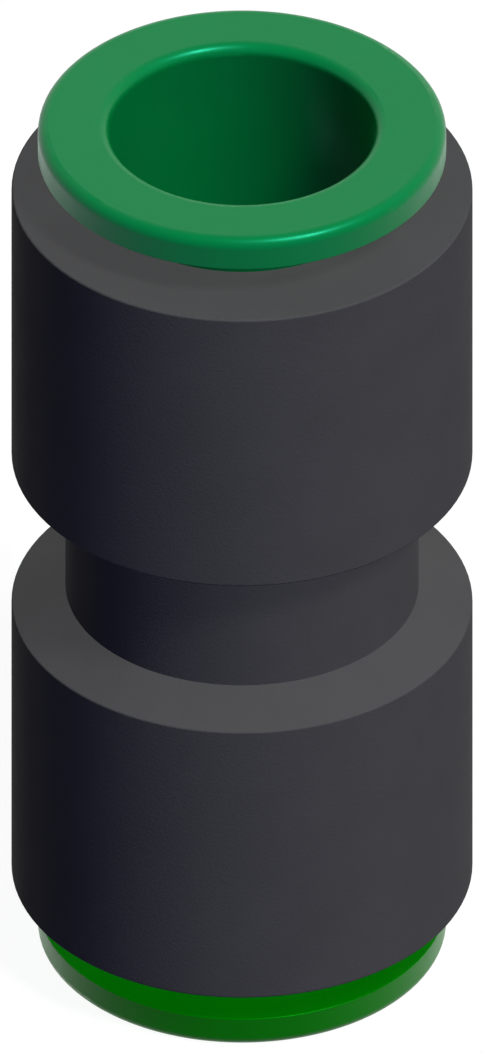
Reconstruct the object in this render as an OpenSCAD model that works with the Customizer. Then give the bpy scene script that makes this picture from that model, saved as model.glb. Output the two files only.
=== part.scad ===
// Straight push-fit union for plain tube, in millimetres.
// The origin is the centre of the union, on its axis, and +Z runs along the tube.
// Each generic module draws the piece of the upper end. The lower end is its mirror image.

/* [Tube] */
// Outer diameter of the tube that is pushed in from each end
tube_d = 12; // [11.6:0.1:12.4]

/* [Body] */
// Diameter of the two large cylinders
body_d = 21; // [20.4:0.1:26]
// Length of the body from end face to end face
body_len = 37.8; // [34:0.1:50]
// Radius on the outer edges of the body
body_edge = 0.1; // [0.05:0.05:0.4]
// Diameter of the waist
neck_d = 16.1; // [14.5:0.1:19]
// Length of the waist between the two shoulders
neck_len = 6.34; // [4:0.01:9]
// Slope of the shoulders, in degrees from square to the axis
shoulder_slope = 20.5; // [5:0.5:22]
// Thickness of the rib that stops the tubes at the centre
stop_t = 2; // [1:0.1:4]
// Diameter of the flow bore through the stop rib
flow_d = 9; // [6:0.1:10.5]
// Radial play of the tube in its socket
socket_play = 0.1; // [0.06:0.01:0.2]
// Lead-in at the mouth of the socket
socket_lead_in = 0.3; // [0.1:0.05:0.6]

/* [Lip seal] */
// Radial room for the seal, from the tube to the wall of the gland
gland_depth = 2.2; // [2:0.05:2.4]
// Length of the gland along the axis
gland_len = 3; // [2.5:0.1:4]
// How far the lip reaches inside the tube's surface, in radius
lip_squeeze = 0.15; // [0.05:0.01:0.15]
// Radial play between the seal and the wall of the gland
seal_play = 0.05; // [0.02:0.01:0.1]
// Axial gap between the lips and the floor of the gland
seal_end_gap = 0.2; // [0.1:0.05:0.4]
// Radial play between the heel of the seal and the tube
heel_play = 0.3; // [0.2:0.05:0.5]
// Width of the groove between the two lips, at its mouth
seal_groove_w = 0.9; // [0.5:0.05:1.1]
// Depth of the groove between the two lips
seal_groove_depth = 1.5; // [0.8:0.1:1.8]
// Bevel on the front of each lip
lip_bevel = 0.25; // [0.1:0.05:0.35]

/* [Support ring] */
// Length of the support ring along the axis
support_len = 2.3; // [2:0.1:3.2]
// Thickness of its floor, which closes the gland
support_floor = 0.6; // [0.4:0.05:0.8]
// Width of the ledge in the body that the support ring is seated on
support_ledge = 0.5; // [0.3:0.05:0.7]
// Radial play between the support ring and the tube
support_play = 0.15; // [0.1:0.01:0.3]
// Radial play of the support ring, grab ring and collar in the body
stack_play = 0.05; // [0.02:0.01:0.1]
// Radial room behind the teeth, at the mouth of the recess
recess_room = 0.15; // [0.1:0.05:0.4]
// Radius of the floor of the recess, outside the tube's surface
recess_floor_w = 0.9; // [0.6:0.05:1.2]
// Bevel on the outer edges of the support ring
support_bevel = 0.2; // [0.1:0.05:0.3]

/* [Grab ring] */
// Thickness of the sheet
grab_t = 0.35; // [0.25:0.05:0.45]
// Number of teeth
tooth_count = 18; // [12:1:20]
// Lean of the teeth from the rim, in degrees
tooth_lean = 45; // [38:1:48]
// How far the tips reach inside the tube's surface, in radius
tooth_bite = 0.15; // [0.05:0.01:0.15]
// Width of the slots between the teeth
tooth_gap = 0.7; // [0.5:0.05:0.9]
// Distance from the end of each slot to the bend at the root
slot_land = 0.1; // [0.05:0.05:0.3]
// Width of the flat rim that is clamped
grab_rim_w = 1.45; // [1.2:0.05:1.7]

/* [Retaining collar] */
// Length of the collar along the axis
collar_len = 6; // [5.5:0.1:7]
// Thickness of the wall at the mouth, which the release ring passes through
mouth_t = 1.35; // [1:0.05:1.8]
// Length of the stretch at the mouth that fills the body's bore
land_len = 0.9; // [0.5:0.05:1.2]
// Height of the snap barbs
barb_h = 0.3; // [0.15:0.05:0.4]
// Length of each snap barb
barb_len = 1; // [0.6:0.05:1.2]
// Distance from one barb to the next
barb_pitch = 1.4; // [1.3:0.05:1.6]
// Number of snap barbs
barb_count = 2; // [1:1:2]
// Play of the barbs in their grooves
barb_play = 0.05; // [0.02:0.01:0.1]

/* [Release ring] */
// Diameter of the flange
flange_d = 18.6; // [17:0.1:20]
// Thickness of the flange
flange_t = 1.55; // [1.2:0.05:2.5]
// Radius on the two outer edges of the flange's face
flange_edge = 0.5; // [0.2:0.05:0.7]
// Radius on the back edge of the flange, towards the body
flange_back_edge = 0.05; // [0.05:0.05:0.3]
// Gap between the flange and the end face of the body, ring standing out
press_gap = 2; // [1.5:0.05:2.2]
// Radial play between the ring's bore and the tube
bore_play = 0.06; // [0.05:0.01:0.1]
// Wall of the sleeve
sleeve_wall = 0.54; // [0.45:0.01:0.65]
// Radial play of the sleeve in the collar's mouth
sleeve_play = 0.05; // [0.02:0.01:0.08]
// Height of the lip that keeps the ring in
keep_lip_h = 0.3; // [0.2:0.05:0.4]
// Length of that lip along the axis
keep_lip_len = 1.2; // [0.8:0.1:1.5]
// Axial play between the lip and the collar
keep_lip_play = 0.05; // [0.02:0.01:0.1]
// Distance that the nose travels before it meets the teeth
nose_travel = 1.75; // [1.5:0.05:1.9]
// Width of the flat on the nose
nose_flat = 0.14; // [0.1:0.01:0.2]
// Length of the bevel on the nose
nose_bevel = 0.6; // [0.4:0.05:0.8]

/* [Hidden] */
$fn = 96;

body_color = [0.29, 0.29, 0.31];
upper_ring_color = [0.01, 0.52, 0.27];
lower_ring_color = [0.01, 0.45, 0.03];
steel_color = [0.75, 0.76, 0.78];
rubber_color = [0.08, 0.08, 0.09];
support_color = [0.88, 0.87, 0.82];

// How far a cutting shape overshoots the face that it cuts
cut = 0.5;

tube_r = tube_d / 2;
body_r = body_d / 2;
neck_r = neck_d / 2;
socket_r = tube_r + socket_play;
gland_r = tube_r + gland_depth;
seat_r = gland_r + support_ledge;
stack_r = seat_r - stack_play;

// Heights along the axis, from the body's end face down to the stop rib
face_z = body_len / 2;
collar_z = face_z - collar_len;
rim_z = collar_z - grab_t;
support_z = rim_z - support_len;
gland_z = support_z - gland_len;
stop_z = stop_t / 2;
shoulder_z = neck_len / 2 + (body_r - neck_r) * tan(shoulder_slope);
shoulder_edge_z = shoulder_z + body_edge / tan(45 + shoulder_slope / 2);

// Teeth of the grab ring: the upper surface runs from the root down to the tip
root_r = stack_r - grab_rim_w;
tip_r = tube_r - tooth_bite;
tip_z = collar_z - (root_r - tip_r) * tan(tooth_lean);

// Release ring: its nose first touches the teeth at the outer corner of its flat
bore_r = tube_r + bore_play;
sleeve_r = bore_r + sleeve_wall;
flange_z = face_z + press_gap;
nose_r = bore_r + nose_flat;
nose_z = collar_z - (root_r - nose_r) * tan(tooth_lean) + nose_travel;

// Collar: a hole for the sleeve at the mouth, and a wider chamber for the keeping lip
mouth_r = sleeve_r + sleeve_play;
ledge_z = face_z - mouth_t;
keep_lip_r = sleeve_r + keep_lip_h;
keep_lip_z = ledge_z - keep_lip_play;
chamber_r = keep_lip_r + 2 * sleeve_play;

// Lower end of the snap barb with the given number, counted from the mouth
function barb_z(i) = face_z - land_len - barb_len - i * barb_pitch;

// Draws an outline above the centre plane and its mirror image below
module both_ends() {
    children();
    mirror([0, 1]) children();
}

// The sliver outside a rounded corner, whose arc is centred on the origin.
// The lean is how far the corner is open beyond a right angle.
module corner_waste(r, lean = 0) {
    difference() {
        intersection() {
            square(r + cut);
            rotate(-lean) square(r + cut);
        }
        circle(r);
    }
}

// Outline of a ring with a barb's section, grown by the given play
module barb_outline(i, play) {
    low = barb_z(i) - play;
    high = barb_z(i) + barb_len + play;
    outer_r = stack_r + barb_h + play;
    polygon([
        [stack_r - cut, low],
        [stack_r, low],
        [outer_r, high - barb_h],
        [outer_r, high],
        [stack_r - cut, high]
    ]);
}

// Outer half section of the body, without its inside
module body_shell_outline() {
    polygon([
        [0, 0],
        [neck_r, 0],
        [neck_r, neck_len / 2],
        [body_r, shoulder_z],
        [body_r, face_z],
        [0, face_z]
    ]);
}

// Half section of everything that is hollow in the body
module body_hollow_outline() {
    polygon([
        [0, 0],
        [flow_d / 2, 0],
        [flow_d / 2, stop_z],
        [socket_r, stop_z],
        [socket_r, gland_z - socket_lead_in],
        [socket_r + socket_lead_in, gland_z],
        [gland_r, gland_z],
        [gland_r, support_z],
        [seat_r, support_z],
        [seat_r, face_z + cut],
        [0, face_z + cut]
    ]);
    for (i = [0 : barb_count - 1]) barb_outline(i, barb_play);
}

module body() {
    color(body_color)
    rotate_extrude()
    both_ends()
    difference() {
        body_shell_outline();
        body_hollow_outline();
        translate([body_r - body_edge, face_z - body_edge])
        corner_waste(body_edge);
        translate([body_r - body_edge, shoulder_edge_z])
        mirror([0, 1])
        corner_waste(body_edge, shoulder_slope);
    }
}

// U-cup: its heel lies on the support ring and its lips point at the pressure
module lip_seal() {
    wall_r = gland_r - seal_play;
    heel_r = tube_r + heel_play;
    lip_r = tube_r - lip_squeeze;
    front_z = gland_z + seal_end_gap;
    mid_r = (wall_r + heel_r) / 2;
    color(rubber_color)
    rotate_extrude()
    polygon([
        [heel_r, support_z],
        [wall_r, support_z],
        [wall_r, front_z + lip_bevel],
        [wall_r - lip_bevel, front_z],
        [mid_r + seal_groove_w / 2, front_z],
        [mid_r + seal_groove_w / 4, front_z + seal_groove_depth],
        [mid_r - seal_groove_w / 4, front_z + seal_groove_depth],
        [mid_r - seal_groove_w / 2, front_z],
        [lip_r + lip_bevel, front_z],
        [lip_r, front_z + lip_bevel],
        [heel_r, front_z + seal_groove_depth]
    ]);
}

// Closes the gland, and leaves room behind the teeth for them to open
module support_ring() {
    recess_floor_r = tube_r + recess_floor_w;
    recess_r = root_r + grab_t * tan(tooth_lean / 2) + recess_room;
    ring_bore_r = tube_r + support_play;
    color(support_color)
    rotate_extrude()
    polygon([
        [ring_bore_r, support_z],
        [stack_r - support_bevel, support_z],
        [stack_r, support_z + support_bevel],
        [stack_r, rim_z - support_bevel],
        [stack_r - support_bevel, rim_z],
        [recess_r, rim_z],
        [recess_floor_r, support_z + support_floor],
        [ring_bore_r, support_z + support_floor]
    ]);
}

// Flat rim and a cone of sheet metal, slotted into teeth
module grab_ring() {
    slot_end_r = root_r - slot_land - tooth_gap / 2;
    slot_h = collar_z - tip_z + grab_t;
    color(steel_color)
    difference() {
        rotate_extrude()
        polygon([
            [tip_r, tip_z],
            [root_r, collar_z],
            [stack_r, collar_z],
            [stack_r, rim_z],
            [root_r + grab_t * tan(tooth_lean / 2), rim_z],
            [tip_r + grab_t * sin(tooth_lean), tip_z - grab_t * cos(tooth_lean)]
        ]);
        for (i = [0 : tooth_count - 1])
        rotate([0, 0, i * 360 / tooth_count])
        translate([0, 0, tip_z - grab_t])
        union() {
            translate([0, -tooth_gap / 2, 0]) cube([slot_end_r, tooth_gap, slot_h + cut]);
            translate([slot_end_r, 0, 0]) cylinder(d = tooth_gap, h = slot_h + cut);
        }
    }
}

// Clamps the grab ring's rim, keeps the release ring in, and snaps into the body
module retaining_collar() {
    color(body_color)
    rotate_extrude()
    union() {
        polygon([
            [chamber_r, collar_z],
            [stack_r, collar_z],
            [stack_r, face_z - land_len],
            [seat_r, face_z - land_len],
            [seat_r, face_z],
            [mouth_r, face_z],
            [mouth_r, ledge_z],
            [chamber_r, ledge_z]
        ]);
        for (i = [0 : barb_count - 1]) barb_outline(i, 0);
    }
}

// Sleeve with a rounded flange outside, a keeping lip inside and a bevelled nose
module release_ring(ring_color) {
    flange_r = flange_d / 2;
    face_top_z = flange_z + flange_t;
    color(ring_color)
    rotate_extrude()
    difference() {
        polygon([
            [bore_r, nose_z],
            [nose_r, nose_z],
            [sleeve_r, nose_z + nose_bevel],
            [sleeve_r, keep_lip_z - keep_lip_len],
            [keep_lip_r, keep_lip_z - keep_lip_len + keep_lip_h],
            [keep_lip_r, keep_lip_z],
            [sleeve_r, keep_lip_z],
            [sleeve_r, flange_z],
            [flange_r, flange_z],
            [flange_r, face_top_z],
            [bore_r, face_top_z]
        ]);
        translate([flange_r - flange_edge, face_top_z - flange_edge])
        corner_waste(flange_edge);
        translate([bore_r + flange_edge, face_top_z - flange_edge])
        mirror([1, 0])
        corner_waste(flange_edge);
        translate([flange_r - flange_back_edge, flange_z + flange_back_edge])
        mirror([0, 1])
        corner_waste(flange_back_edge);
    }
}

module upper_lip_seal() lip_seal();
module upper_support_ring() support_ring();
module upper_grab_ring() grab_ring();
module upper_retaining_collar() retaining_collar();
module upper_release_ring() release_ring(upper_ring_color);
module lower_lip_seal() mirror([0, 0, 1]) lip_seal();
module lower_support_ring() mirror([0, 0, 1]) support_ring();
module lower_grab_ring() mirror([0, 0, 1]) grab_ring();
module lower_retaining_collar() mirror([0, 0, 1]) retaining_collar();
module lower_release_ring() mirror([0, 0, 1]) release_ring(lower_ring_color);

body();
upper_lip_seal();
upper_support_ring();
upper_grab_ring();
upper_retaining_collar();
upper_release_ring();
lower_lip_seal();
lower_support_ring();
lower_grab_ring();
lower_retaining_collar();
lower_release_ring();
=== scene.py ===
import math

import bmesh
import bpy
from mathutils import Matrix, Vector


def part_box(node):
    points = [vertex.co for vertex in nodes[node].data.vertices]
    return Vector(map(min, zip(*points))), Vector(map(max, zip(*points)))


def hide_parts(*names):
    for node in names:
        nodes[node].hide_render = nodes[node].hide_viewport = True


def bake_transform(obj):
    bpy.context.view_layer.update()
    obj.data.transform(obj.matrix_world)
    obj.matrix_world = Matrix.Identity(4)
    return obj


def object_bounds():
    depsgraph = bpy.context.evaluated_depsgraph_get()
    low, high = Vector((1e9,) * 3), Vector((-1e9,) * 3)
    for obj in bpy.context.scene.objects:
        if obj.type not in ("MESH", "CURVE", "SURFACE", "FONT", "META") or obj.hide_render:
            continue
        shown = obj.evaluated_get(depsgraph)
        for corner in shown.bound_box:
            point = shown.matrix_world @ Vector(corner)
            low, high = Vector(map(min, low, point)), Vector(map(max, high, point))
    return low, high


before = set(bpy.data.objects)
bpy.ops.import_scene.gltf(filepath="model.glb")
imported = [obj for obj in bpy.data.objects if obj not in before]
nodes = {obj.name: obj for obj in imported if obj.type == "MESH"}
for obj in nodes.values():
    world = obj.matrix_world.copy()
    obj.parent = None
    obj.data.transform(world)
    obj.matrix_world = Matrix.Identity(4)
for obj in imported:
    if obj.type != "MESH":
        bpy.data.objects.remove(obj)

cad_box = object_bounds()

# Body
# One moulding in dark grey acetal: two cylinders, the waist between them and everything that
# is bored from both ends. The mould's faces are spark eroded, which leaves a fine matt grain.

BODY_GREY = (0.077, 0.077, 0.079)
BODY_ROUGHNESS = 0.9
BODY_SPECULAR = 0.06
GRAIN_MM = 0.14
GRAIN_DEPTH_MM = 0.012
CLOUD_MM = 4
NOISE_LOW = 0.3
NOISE_HIGH = 0.7


def start_material(name, colour, roughness):
    """A node material whose shader has its plain colour and roughness set."""
    material = bpy.data.materials.new(name)
    material.use_nodes = True
    shader = material.node_tree.nodes["Principled BSDF"]
    shader.inputs["Base Color"].default_value = (*colour, 1)
    shader.inputs["Roughness"].default_value = roughness
    return material, shader


def add_node(material, kind, **values):
    """A node of that kind, with its plain values set by name."""
    node = material.node_tree.nodes.new(kind)
    for key, value in values.items():
        setattr(node, key, value)
    return node


def link(material, source, target):
    """A line from one socket to another."""
    material.node_tree.links.new(source, target)


def object_place(material):
    """The point on the piece, in metres from the centre of the union."""
    return add_node(material, "ShaderNodeTexCoord").outputs["Object"]


def noise_of_size(material, place, size_mm, detail=2.0):
    """A noise whose blots are about that wide. Most of it lies between NOISE_LOW and NOISE_HIGH."""
    noise = add_node(material, "ShaderNodeTexNoise")
    noise.inputs["Scale"].default_value = 1000 / size_mm
    noise.inputs["Detail"].default_value = detail
    link(material, place, noise.inputs["Vector"])
    return noise.outputs["Fac"]


def vary_colour(material, shader, fac, colour, share):
    """The colour goes that share darker and lighter with the noise."""
    ramp = add_node(material, "ShaderNodeValToRGB")
    low, high = ramp.color_ramp.elements
    low.position, high.position = NOISE_LOW, NOISE_HIGH
    low.color = (*(c * (1 - share) for c in colour), 1)
    high.color = (*(c * (1 + share) for c in colour), 1)
    link(material, fac, ramp.inputs["Fac"])
    link(material, ramp.outputs["Color"], shader.inputs["Base Color"])


def vary_roughness(material, shader, fac, roughness, spread):
    """The roughness goes up and down by the spread with the noise."""
    span = add_node(material, "ShaderNodeMapRange")
    span.inputs["From Min"].default_value = NOISE_LOW
    span.inputs["From Max"].default_value = NOISE_HIGH
    span.inputs["To Min"].default_value = roughness - spread
    span.inputs["To Max"].default_value = roughness + spread
    link(material, fac, span.inputs["Value"])
    link(material, span.outputs["Result"], shader.inputs["Roughness"])


def raise_grain(material, shader, heights, depth_mm):
    """The surface is bumped by that height, on top of any bump that it has."""
    bump = add_node(material, "ShaderNodeBump")
    bump.inputs["Strength"].default_value = 1
    bump.inputs["Distance"].default_value = depth_mm / 1000
    link(material, heights, bump.inputs["Height"])
    normal = shader.inputs["Normal"]
    if normal.is_linked:
        link(material, normal.links[0].from_socket, bump.inputs["Normal"])
    link(material, bump.outputs["Normal"], normal)


def matt_plastic():
    """Dark grey plastic with the fine grain of a spark eroded mould."""
    material, shader = start_material("dark_grey_plastic", BODY_GREY, BODY_ROUGHNESS)
    shader.inputs["Specular IOR Level"].default_value = BODY_SPECULAR
    place = object_place(material)
    clouds = noise_of_size(material, place, CLOUD_MM)
    vary_colour(material, shader, clouds, BODY_GREY, share=0.04)
    patches = noise_of_size(material, place, size_mm=1.2)
    vary_roughness(material, shader, patches, BODY_ROUGHNESS, spread=0.02)
    grain = noise_of_size(material, place, GRAIN_MM, detail=3.0)
    raise_grain(material, shader, grain, GRAIN_DEPTH_MM)
    return material


def give_material(node, material):
    """The solid of that name keeps its mesh and takes this material."""
    mesh = nodes[node].data
    mesh.materials.clear()
    mesh.materials.append(material)


body_plastic = matt_plastic()
give_material("body", body_plastic)

# Lip seals
# A U-cup of black nitrile rubber in each gland, lips towards the fluid. It is compression
# moulded, so its skin is dull, with faint blooming.

RUBBER_BLACK = (0.020, 0.020, 0.022)
RUBBER_ROUGHNESS = 0.62
BLOOM = 0.1
BLOOM_ROUGHNESS = 0.5


def moulded_rubber():
    """Dull black rubber with a slightly uneven skin."""
    material, shader = start_material("black_rubber", RUBBER_BLACK, RUBBER_ROUGHNESS)
    shader.inputs["Sheen Weight"].default_value = BLOOM
    shader.inputs["Sheen Roughness"].default_value = BLOOM_ROUGHNESS
    place = object_place(material)
    clouds = noise_of_size(material, place, size_mm=2.0)
    vary_colour(material, shader, clouds, RUBBER_BLACK, share=0.2)
    patches = noise_of_size(material, place, size_mm=0.8)
    vary_roughness(material, shader, patches, RUBBER_ROUGHNESS, spread=0.07)
    raise_grain(material, shader, noise_of_size(material, place, size_mm=0.08), depth_mm=0.003)
    return material


seal_rubber = moulded_rubber()
for end in ("upper", "lower"):
    give_material(end + "_lip_seal", seal_rubber)

# Support rings
# Moulded in acetal of its natural milk white. It closes the gland and gives the teeth
# a cone to open into, and drops onto its ledge in the body.

SUPPORT_WHITE = (0.76, 0.74, 0.66)
SUPPORT_ROUGHNESS = 0.42
LIGHT_LET_IN = 0.25
LIGHT_DEPTH = 0.0004
LIGHT_DEPTH_BY_COLOUR = (1, 0.9, 0.7)


def natural_acetal():
    """Milk white plastic that lets a little light in."""
    material, shader = start_material("natural_acetal", SUPPORT_WHITE, SUPPORT_ROUGHNESS)
    shader.inputs["Subsurface Weight"].default_value = LIGHT_LET_IN
    shader.inputs["Subsurface Radius"].default_value = LIGHT_DEPTH_BY_COLOUR
    shader.inputs["Subsurface Scale"].default_value = LIGHT_DEPTH
    place = object_place(material)
    clouds = noise_of_size(material, place, size_mm=3.0)
    vary_colour(material, shader, clouds, SUPPORT_WHITE, share=0.03)
    patches = noise_of_size(material, place, size_mm=1.0)
    vary_roughness(material, shader, patches, SUPPORT_ROUGHNESS, spread=0.05)
    raise_grain(material, shader, noise_of_size(material, place, size_mm=0.12), depth_mm=0.003)
    return material


support_plastic = natural_acetal()
for end in ("upper", "lower"):
    give_material(end + "_support_ring", support_plastic)

# Grab rings
# Stamped from stainless spring strip and pressed into a cone, with slots that end in half rounds.
# The collar clamps the flat rim. The teeth lean inwards and dig into the tube. They are built
# at rest here; in the real union they bend away from the nose of the release ring.

STEEL_GREY = (0.56, 0.57, 0.58)
STEEL_ROUGHNESS = 0.3
SHEET_MM = 0.35
TOOTH_COUNT = 18
TOOTH_GAP_MM = 0.7
SLOT_LAND_MM = 0.1
TOOTH_LEAN = math.radians(45)
TOOTH_REACH_MM = 2.8
RIM_WIDTH_MM = 1.45
TUMBLED_EDGE_MM = 0.03
STEPS_ROUND_EDGE = 2
CUT_EDGE_ANGLE = math.radians(60)
SHARP_ANGLE = math.radians(35)
SAME_POINT = 1e-6
ROLLING_STRETCH = (0.04, 1, 1)
STEPS_ALONG_TOOTH = 8
STEPS_ROUND_SLOT_END = 5
STEPS_ACROSS_RIM = 2
STEPS_ACROSS_TOOTH = 8


def rolled_steel():
    """Stainless strip: the rolls leave fine lines that all run one way across the sheet."""
    material, shader = start_material("stainless_strip", STEEL_GREY, STEEL_ROUGHNESS)
    shader.inputs["Metallic"].default_value = 1
    along_rolling = add_node(material, "ShaderNodeMapping")
    along_rolling.inputs["Scale"].default_value = ROLLING_STRETCH
    link(material, object_place(material), along_rolling.inputs["Vector"])
    lines = noise_of_size(material, along_rolling.outputs["Vector"], size_mm=0.06, detail=3.0)
    vary_colour(material, shader, lines, STEEL_GREY, share=0.06)
    vary_roughness(material, shader, lines, STEEL_ROUGHNESS, spread=0.08)
    raise_grain(material, shader, lines, depth_mm=0.001)
    return material


def sheet_rows(tip_radius, root_radius, rim_radius):
    """Radius and half width of the slot, in mm, row by row over the sheet from tip to rim."""
    half_gap = TOOTH_GAP_MM / 2
    slot_end = root_radius - SLOT_LAND_MM - half_gap
    rows = []
    for i in range(STEPS_ALONG_TOOTH):
        rows.append((tip_radius + (slot_end - tip_radius) * i / STEPS_ALONG_TOOTH, half_gap))
    for i in range(STEPS_ROUND_SLOT_END + 1):
        turn = math.pi / 2 * i / STEPS_ROUND_SLOT_END
        rows.append((slot_end + half_gap * math.sin(turn), half_gap * math.cos(turn)))
    for i in range(STEPS_ACROSS_RIM + 1):
        rows.append((root_radius + RIM_WIDTH_MM * i / STEPS_ACROSS_RIM, 0))
    return rows


def sheet_point(radius, half_gap, root_radius, tooth, across):
    """A point on the upper face of the sheet in mm, its height counted from the rim.
    Across runs from -1 to 1 over the width of a tooth."""
    half_width = math.pi / TOOTH_COUNT - math.asin(half_gap / radius)
    turn = math.tau * (tooth + 0.5) / TOOTH_COUNT + across * half_width
    drop = max(0, root_radius - radius) * math.tan(TOOTH_LEAN)
    return Vector((radius * math.cos(turn), radius * math.sin(turn), -drop))


def pressed_sheet(node, up):
    """The outer face of the toothed ring, at the rim of the solid of that name."""
    low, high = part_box(node)
    rim_radius = 1000 * high.x
    rim_height = 1000 * max(up * low.z, up * high.z)
    root_radius = rim_radius - RIM_WIDTH_MM
    tip_radius = rim_radius - TOOTH_REACH_MM
    sheet = bmesh.new()
    for tooth in range(TOOTH_COUNT):
        lines = []
        for radius, half_gap in sheet_rows(tip_radius, root_radius, rim_radius):
            line = []
            for step in range(STEPS_ACROSS_TOOTH + 1):
                across = 2 * step / STEPS_ACROSS_TOOTH - 1
                point = sheet_point(radius, half_gap, root_radius, tooth, across)
                point.z = up * (rim_height + point.z)
                line.append(sheet.verts.new(point / 1000))
            lines.append(line)
        for near, far in zip(lines, lines[1:]):
            for step in range(STEPS_ACROSS_TOOTH):
                corners = [near[step], far[step], far[step + 1], near[step + 1]]
                sheet.faces.new(corners if up > 0 else corners[::-1])
    bmesh.ops.remove_doubles(sheet, verts=sheet.verts, dist=SAME_POINT)
    return sheet


def toothed_ring(end, up):
    """The pressed sheet with its thickness and tumbled edges, in place of the CAD solid."""
    node = end + "_grab_ring"
    mesh = bpy.data.meshes.new(end + "_toothed_ring")
    sheet = pressed_sheet(node, up)
    sheet.to_mesh(mesh)
    sheet.free()
    ring = bpy.data.objects.new(mesh.name, mesh)
    bpy.context.scene.collection.objects.link(ring)
    thick = ring.modifiers.new("thickness", "SOLIDIFY")
    thick.thickness = SHEET_MM / 1000
    thick.offset = -1
    thick.use_even_offset = True
    tumbled = ring.modifiers.new("tumbled_edges", "BEVEL")
    tumbled.width = TUMBLED_EDGE_MM / 1000
    tumbled.segments = STEPS_ROUND_EDGE
    tumbled.limit_method = "ANGLE"
    tumbled.angle_limit = CUT_EDGE_ANGLE
    bpy.context.view_layer.update()
    made = ring.evaluated_get(bpy.context.evaluated_depsgraph_get())
    ring.data = bpy.data.meshes.new_from_object(made)
    ring.modifiers.clear()
    bpy.data.meshes.remove(mesh)
    ring.data.name = ring.name
    ring.data.shade_smooth()
    ring.data.set_sharp_from_angle(angle=SHARP_ANGLE)
    ring.data.materials.append(spring_steel)
    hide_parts(node)
    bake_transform(ring)


spring_steel = rolled_steel()
toothed_ring("upper", 1)
toothed_ring("lower", -1)

# Retaining collars
# Moulded in the body's own plastic and snapped flush into its mouth on two barbs. The face of
# the collar and the face of the body meet size on size, so the end shows as one flat ring.

for end in ("upper", "lower"):
    give_material(end + "_retaining_collar", body_plastic)

# Release rings
# Moulded in green acetal with a satin skin, emerald at the upper end and leaf green at the
# lower one. The mould is turned, which leaves faint rings all round on every face.

UPPER_GREEN = (0.0003, 0.188, 0.039)
LOWER_GREEN = (0.0003, 0.160, 0.0003)
RING_ROUGHNESS = 0.34
RING_IOR = 1.48
UPPER_SHINE_TINT = (0.05, 1.0, 0.6)
LOWER_SHINE_TINT = (0.02, 1.0, 0.05)
TURNED_MM = 0.09
TURNED_DEPTH_MM = 0.0012


def place_on_section(material):
    """The point's distance from the axis and its height, so that a pattern runs all round."""
    parts = add_node(material, "ShaderNodeSeparateXYZ")
    link(material, object_place(material), parts.inputs["Vector"])
    flat = add_node(material, "ShaderNodeCombineXYZ")
    link(material, parts.outputs["X"], flat.inputs["X"])
    link(material, parts.outputs["Y"], flat.inputs["Y"])
    from_axis = add_node(material, "ShaderNodeVectorMath", operation="LENGTH")
    link(material, flat.outputs["Vector"], from_axis.inputs[0])
    section = add_node(material, "ShaderNodeCombineXYZ")
    link(material, from_axis.outputs["Value"], section.inputs["X"])
    link(material, parts.outputs["Z"], section.inputs["Y"])
    return section.outputs["Vector"]


def satin_plastic(name, colour, shine_tint):
    """Green acetal with a satin skin and the rings of a turned mould."""
    material, shader = start_material(name, colour, RING_ROUGHNESS)
    shader.inputs["IOR"].default_value = RING_IOR
    shader.inputs["Specular Tint"].default_value = (*shine_tint, 1)
    place = object_place(material)
    vary_colour(material, shader, noise_of_size(material, place, size_mm=3.5), colour, share=0.03)
    patches = noise_of_size(material, place, size_mm=0.9)
    vary_roughness(material, shader, patches, RING_ROUGHNESS, spread=0.03)
    rings = noise_of_size(material, place_on_section(material), TURNED_MM)
    raise_grain(material, shader, rings, TURNED_DEPTH_MM)
    raise_grain(material, shader, noise_of_size(material, place, size_mm=0.18), depth_mm=0.0025)
    return material


emerald_plastic = satin_plastic("emerald_plastic", UPPER_GREEN, UPPER_SHINE_TINT)
leaf_green_plastic = satin_plastic("leaf_green_plastic", LOWER_GREEN, LOWER_SHINE_TINT)
give_material("upper_release_ring", emerald_plastic)
give_material("lower_release_ring", leaf_green_plastic)

# Floor and surroundings
# A plain pale sheet that the union stands on, and white all round. Both show white to the
# camera and in reflections, and the floor still takes the object's soft shadow.

FLOOR_HALF_WIDTH = 3
FLOOR_GAP = 0.00002
FLOOR_GREY = (0.5, 0.5, 0.5)
FLOOR_ROUGHNESS = 0.9
FLOOR_GLOW = 0.56
BOUNCE_GREY = (0.04, 0.04, 0.045)
AROUND_LIGHT = (0.020, 0.020, 0.024)


def seen_straight(tree):
    """1 where the camera looks on directly, in a reflection or through glass, otherwise 0."""
    path = tree.nodes.new("ShaderNodeLightPath")
    seen = path.outputs["Is Camera Ray"]
    for ray in ("Is Glossy Ray", "Is Transmission Ray"):
        either = tree.nodes.new("ShaderNodeMath")
        either.operation = "MAXIMUM"
        tree.links.new(seen, either.inputs[0])
        tree.links.new(path.outputs[ray], either.inputs[1])
        seen = either.outputs["Value"]
    return seen


def pale_floor():
    """White where it is seen, with a soft shadow, and darker to the light that it throws back."""
    material, shader = start_material("pale_floor", FLOOR_GREY, FLOOR_ROUGHNESS)
    shader.inputs["Specular IOR Level"].default_value = 0
    glow = add_node(material, "ShaderNodeEmission")
    glow.inputs["Strength"].default_value = FLOOR_GLOW
    lit = add_node(material, "ShaderNodeAddShader")
    link(material, shader.outputs["BSDF"], lit.inputs[0])
    link(material, glow.outputs["Emission"], lit.inputs[1])
    unseen = add_node(material, "ShaderNodeBsdfDiffuse")
    unseen.inputs["Color"].default_value = (*BOUNCE_GREY, 1)
    choose = add_node(material, "ShaderNodeMixShader")
    link(material, seen_straight(material.node_tree), choose.inputs["Fac"])
    link(material, unseen.outputs["BSDF"], choose.inputs[1])
    link(material, lit.outputs["Shader"], choose.inputs[2])
    out = material.node_tree.nodes["Material Output"]
    link(material, choose.outputs["Shader"], out.inputs["Surface"])
    return material


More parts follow.
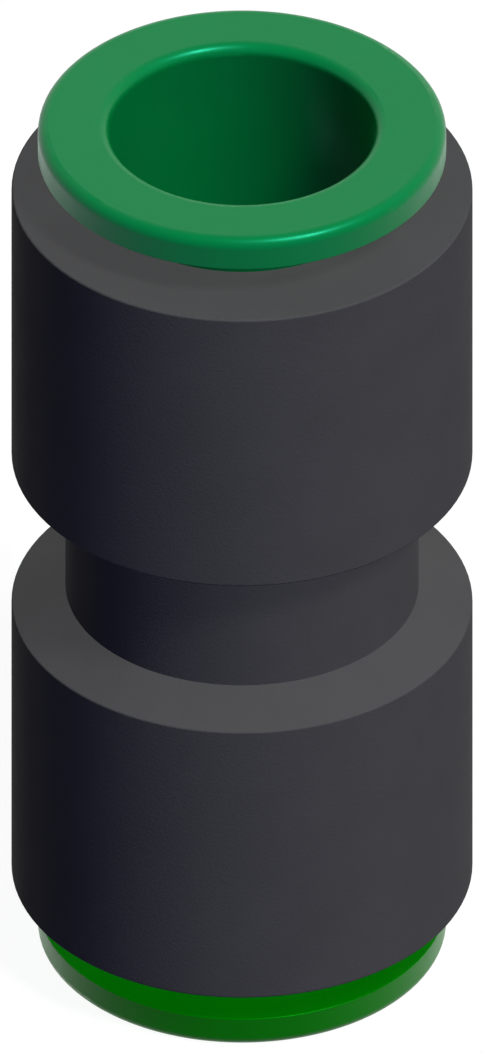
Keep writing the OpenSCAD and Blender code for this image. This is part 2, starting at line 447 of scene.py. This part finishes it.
def flat_sheet(name, half_width, height):
    """A level square sheet, facing up."""
    mesh = bpy.data.meshes.new(name)
    corners = [(-1, -1), (1, -1), (1, 1), (-1, 1)]
    points = [(x * half_width, y * half_width, height) for x, y in corners]
    mesh.from_pydata(points, [], [(0, 1, 2, 3)])
    sheet = bpy.data.objects.new(name, mesh)
    bpy.context.scene.collection.objects.link(sheet)
    return sheet


floor = flat_sheet("floor", FLOOR_HALF_WIDTH, cad_box[0][2] - FLOOR_GAP)
floor.data.materials.append(pale_floor())

world = bpy.data.worlds.new("white_surroundings")
bpy.context.scene.world = world
world.use_nodes = True


def surroundings(tree):
    """White where they are seen, and otherwise a faint light from all sides."""
    backdrop = tree.nodes["Background"]
    backdrop.inputs["Color"].default_value = (1, 1, 1, 1)
    ambient = tree.nodes.new("ShaderNodeBackground")
    ambient.inputs["Color"].default_value = (*AROUND_LIGHT, 1)
    choose = tree.nodes.new("ShaderNodeMixShader")
    tree.links.new(seen_straight(tree), choose.inputs["Fac"])
    tree.links.new(ambient.outputs["Background"], choose.inputs[1])
    tree.links.new(backdrop.outputs["Background"], choose.inputs[2])
    tree.links.new(choose.outputs["Shader"], tree.nodes["World Output"].inputs["Surface"])


surroundings(world.node_tree)

# Lamps
# Soft lamps far off, each given by its bearing from the camera, its height in degrees and
# its level, where 1 lights a surface that faces it to its own colour. Those without shadows
# are kept off the pieces inside the body, which they would light through its wall.

WHITE_LIGHT = (1, 1, 1)
COOL_LIGHT = (0.1, 0.1, 1)

inner_pieces = bpy.data.collections.new("inner_pieces")
for end in ("upper", "lower"):
    for piece in ("lip_seal", "support_ring", "toothed_ring"):
        inner_pieces.objects.link(bpy.data.objects[f"{end}_{piece}"])
for listed in inner_pieces.collection_objects:
    listed.light_linking.link_state = "EXCLUDE"


def direction(bearing, height):
    """Unit vector towards a place in the surroundings. The camera stands at bearing 0."""
    turn, rise = math.radians(bearing), math.radians(height)
    return Vector((math.sin(turn) * math.cos(rise), -math.cos(turn) * math.cos(rise), math.sin(rise)))


def add_lamp(name, bearing, height, level, spread, colour=WHITE_LIGHT, shadows=True, shine=True):
    """A far lamp. Without shine it shows in no reflection."""
    lamp = bpy.data.lights.new(name, "SUN")
    lamp.energy = math.pi * level
    lamp.angle = math.radians(spread)
    lamp.color = colour
    lamp.use_shadow = shadows
    holder = bpy.data.objects.new(name, lamp)
    holder.visible_glossy = shine
    holder.rotation_euler = direction(bearing, height).to_track_quat("Z", "Y").to_euler()
    if not shadows:
        holder.light_linking.receiver_collection = inner_pieces
    bpy.context.scene.collection.objects.link(holder)


add_lamp("key_lamp", 40, 50, level=0.18, spread=12)
add_lamp("fill_lamp", 47, 60, level=0.86, spread=14, shadows=False)
add_lamp("cool_lamp", 12, 0, level=0.14, spread=30, colour=COOL_LIGHT, shadows=False, shine=False)
add_lamp("rear_lamp", 180, 0, level=0.45, spread=25, shine=False)

# Camera
# The photograph is an isometric view without perspective, from above at 35.26 degrees, with
# the union upright in the middle.

CAMERA_HEIGHT = math.degrees(math.asin(1 / math.sqrt(3)))
CAMERA_DISTANCE = 0.5
NEAREST_SEEN = 0.01
FARTHEST_SEEN = 20
PHOTO_HEIGHT_PX = 1053
PX_PER_MM = 21.96

camera = bpy.data.cameras.new("camera")
camera.type = "ORTHO"
camera.ortho_scale = PHOTO_HEIGHT_PX / PX_PER_MM / 1000
camera.clip_start = NEAREST_SEEN
camera.clip_end = FARTHEST_SEEN
camera_stand = bpy.data.objects.new("camera", camera)
to_camera = direction(0, CAMERA_HEIGHT)
camera_stand.location = to_camera * CAMERA_DISTANCE
camera_stand.rotation_euler = to_camera.to_track_quat("Z", "Y").to_euler()
bpy.context.scene.collection.objects.link(camera_stand)
bpy.context.scene.camera = camera_stand

bpy.context.scene.view_settings.view_transform = "Standard"
